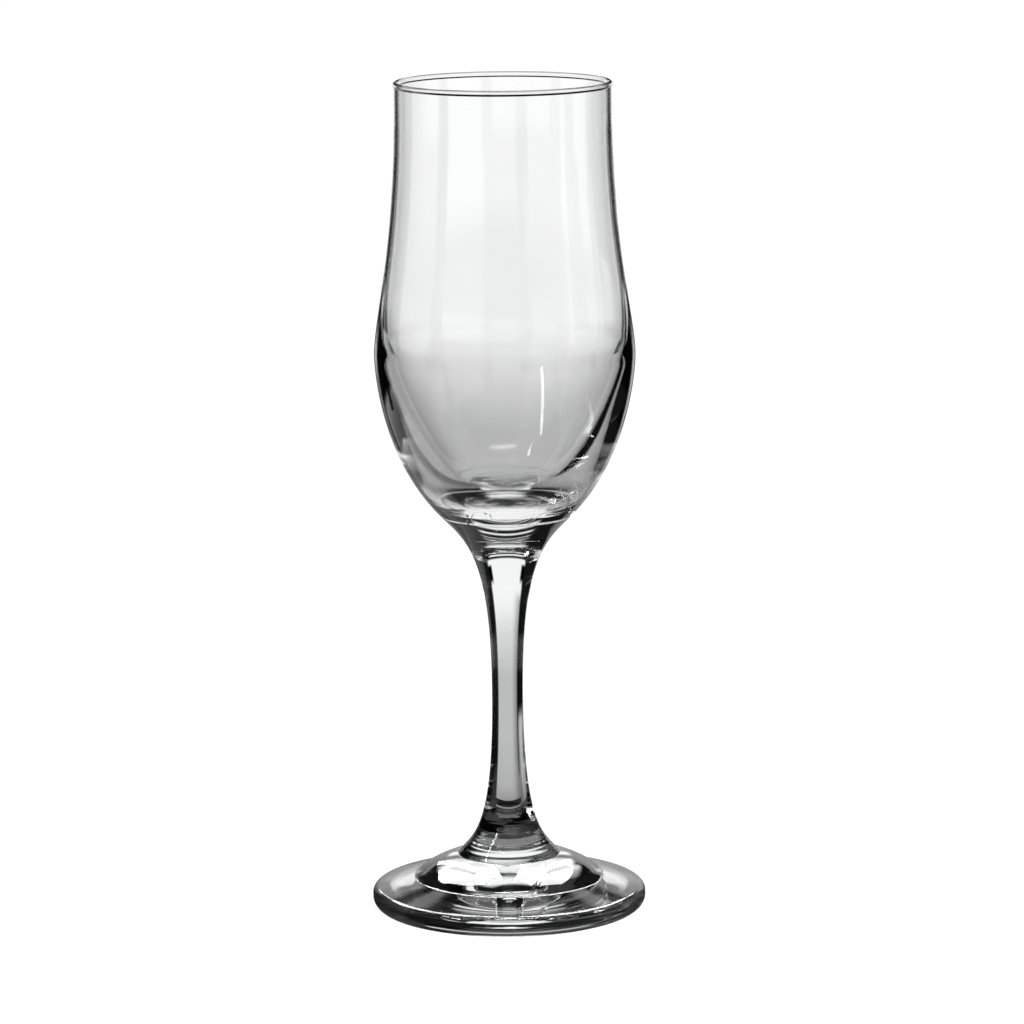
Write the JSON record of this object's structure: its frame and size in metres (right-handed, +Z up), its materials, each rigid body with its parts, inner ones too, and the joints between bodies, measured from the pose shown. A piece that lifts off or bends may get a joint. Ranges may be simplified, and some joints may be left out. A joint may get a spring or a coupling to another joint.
{
  "type": "sherry glass",
  "caption": "Clear stemmed glass for sherry: a tulip bowl with a flame-rounded rim, drawn in to a slim waisted stem on a stepped round foot.",
  "frame": {"origin": "middle of the circle that the foot stands on, at table height", "axes": "+Z up along the glass's axis of revolution, from the foot to the rim; X and Y are alike"},
  "size_m": [0.066, 0.066, 0.2],
  "materials": {
    "blown_glass": "clear soda-lime glass, blown in a turning mould, with a flame-polished rim",
    "pressed_glass": "clear soda-lime glass, pressed and flame-polished"
  },
  "bodies": {
    "root": {"foot": "pressed_glass", "stem": "pressed_glass", "bowl": "blown_glass"}
  },
  "joints": []
}
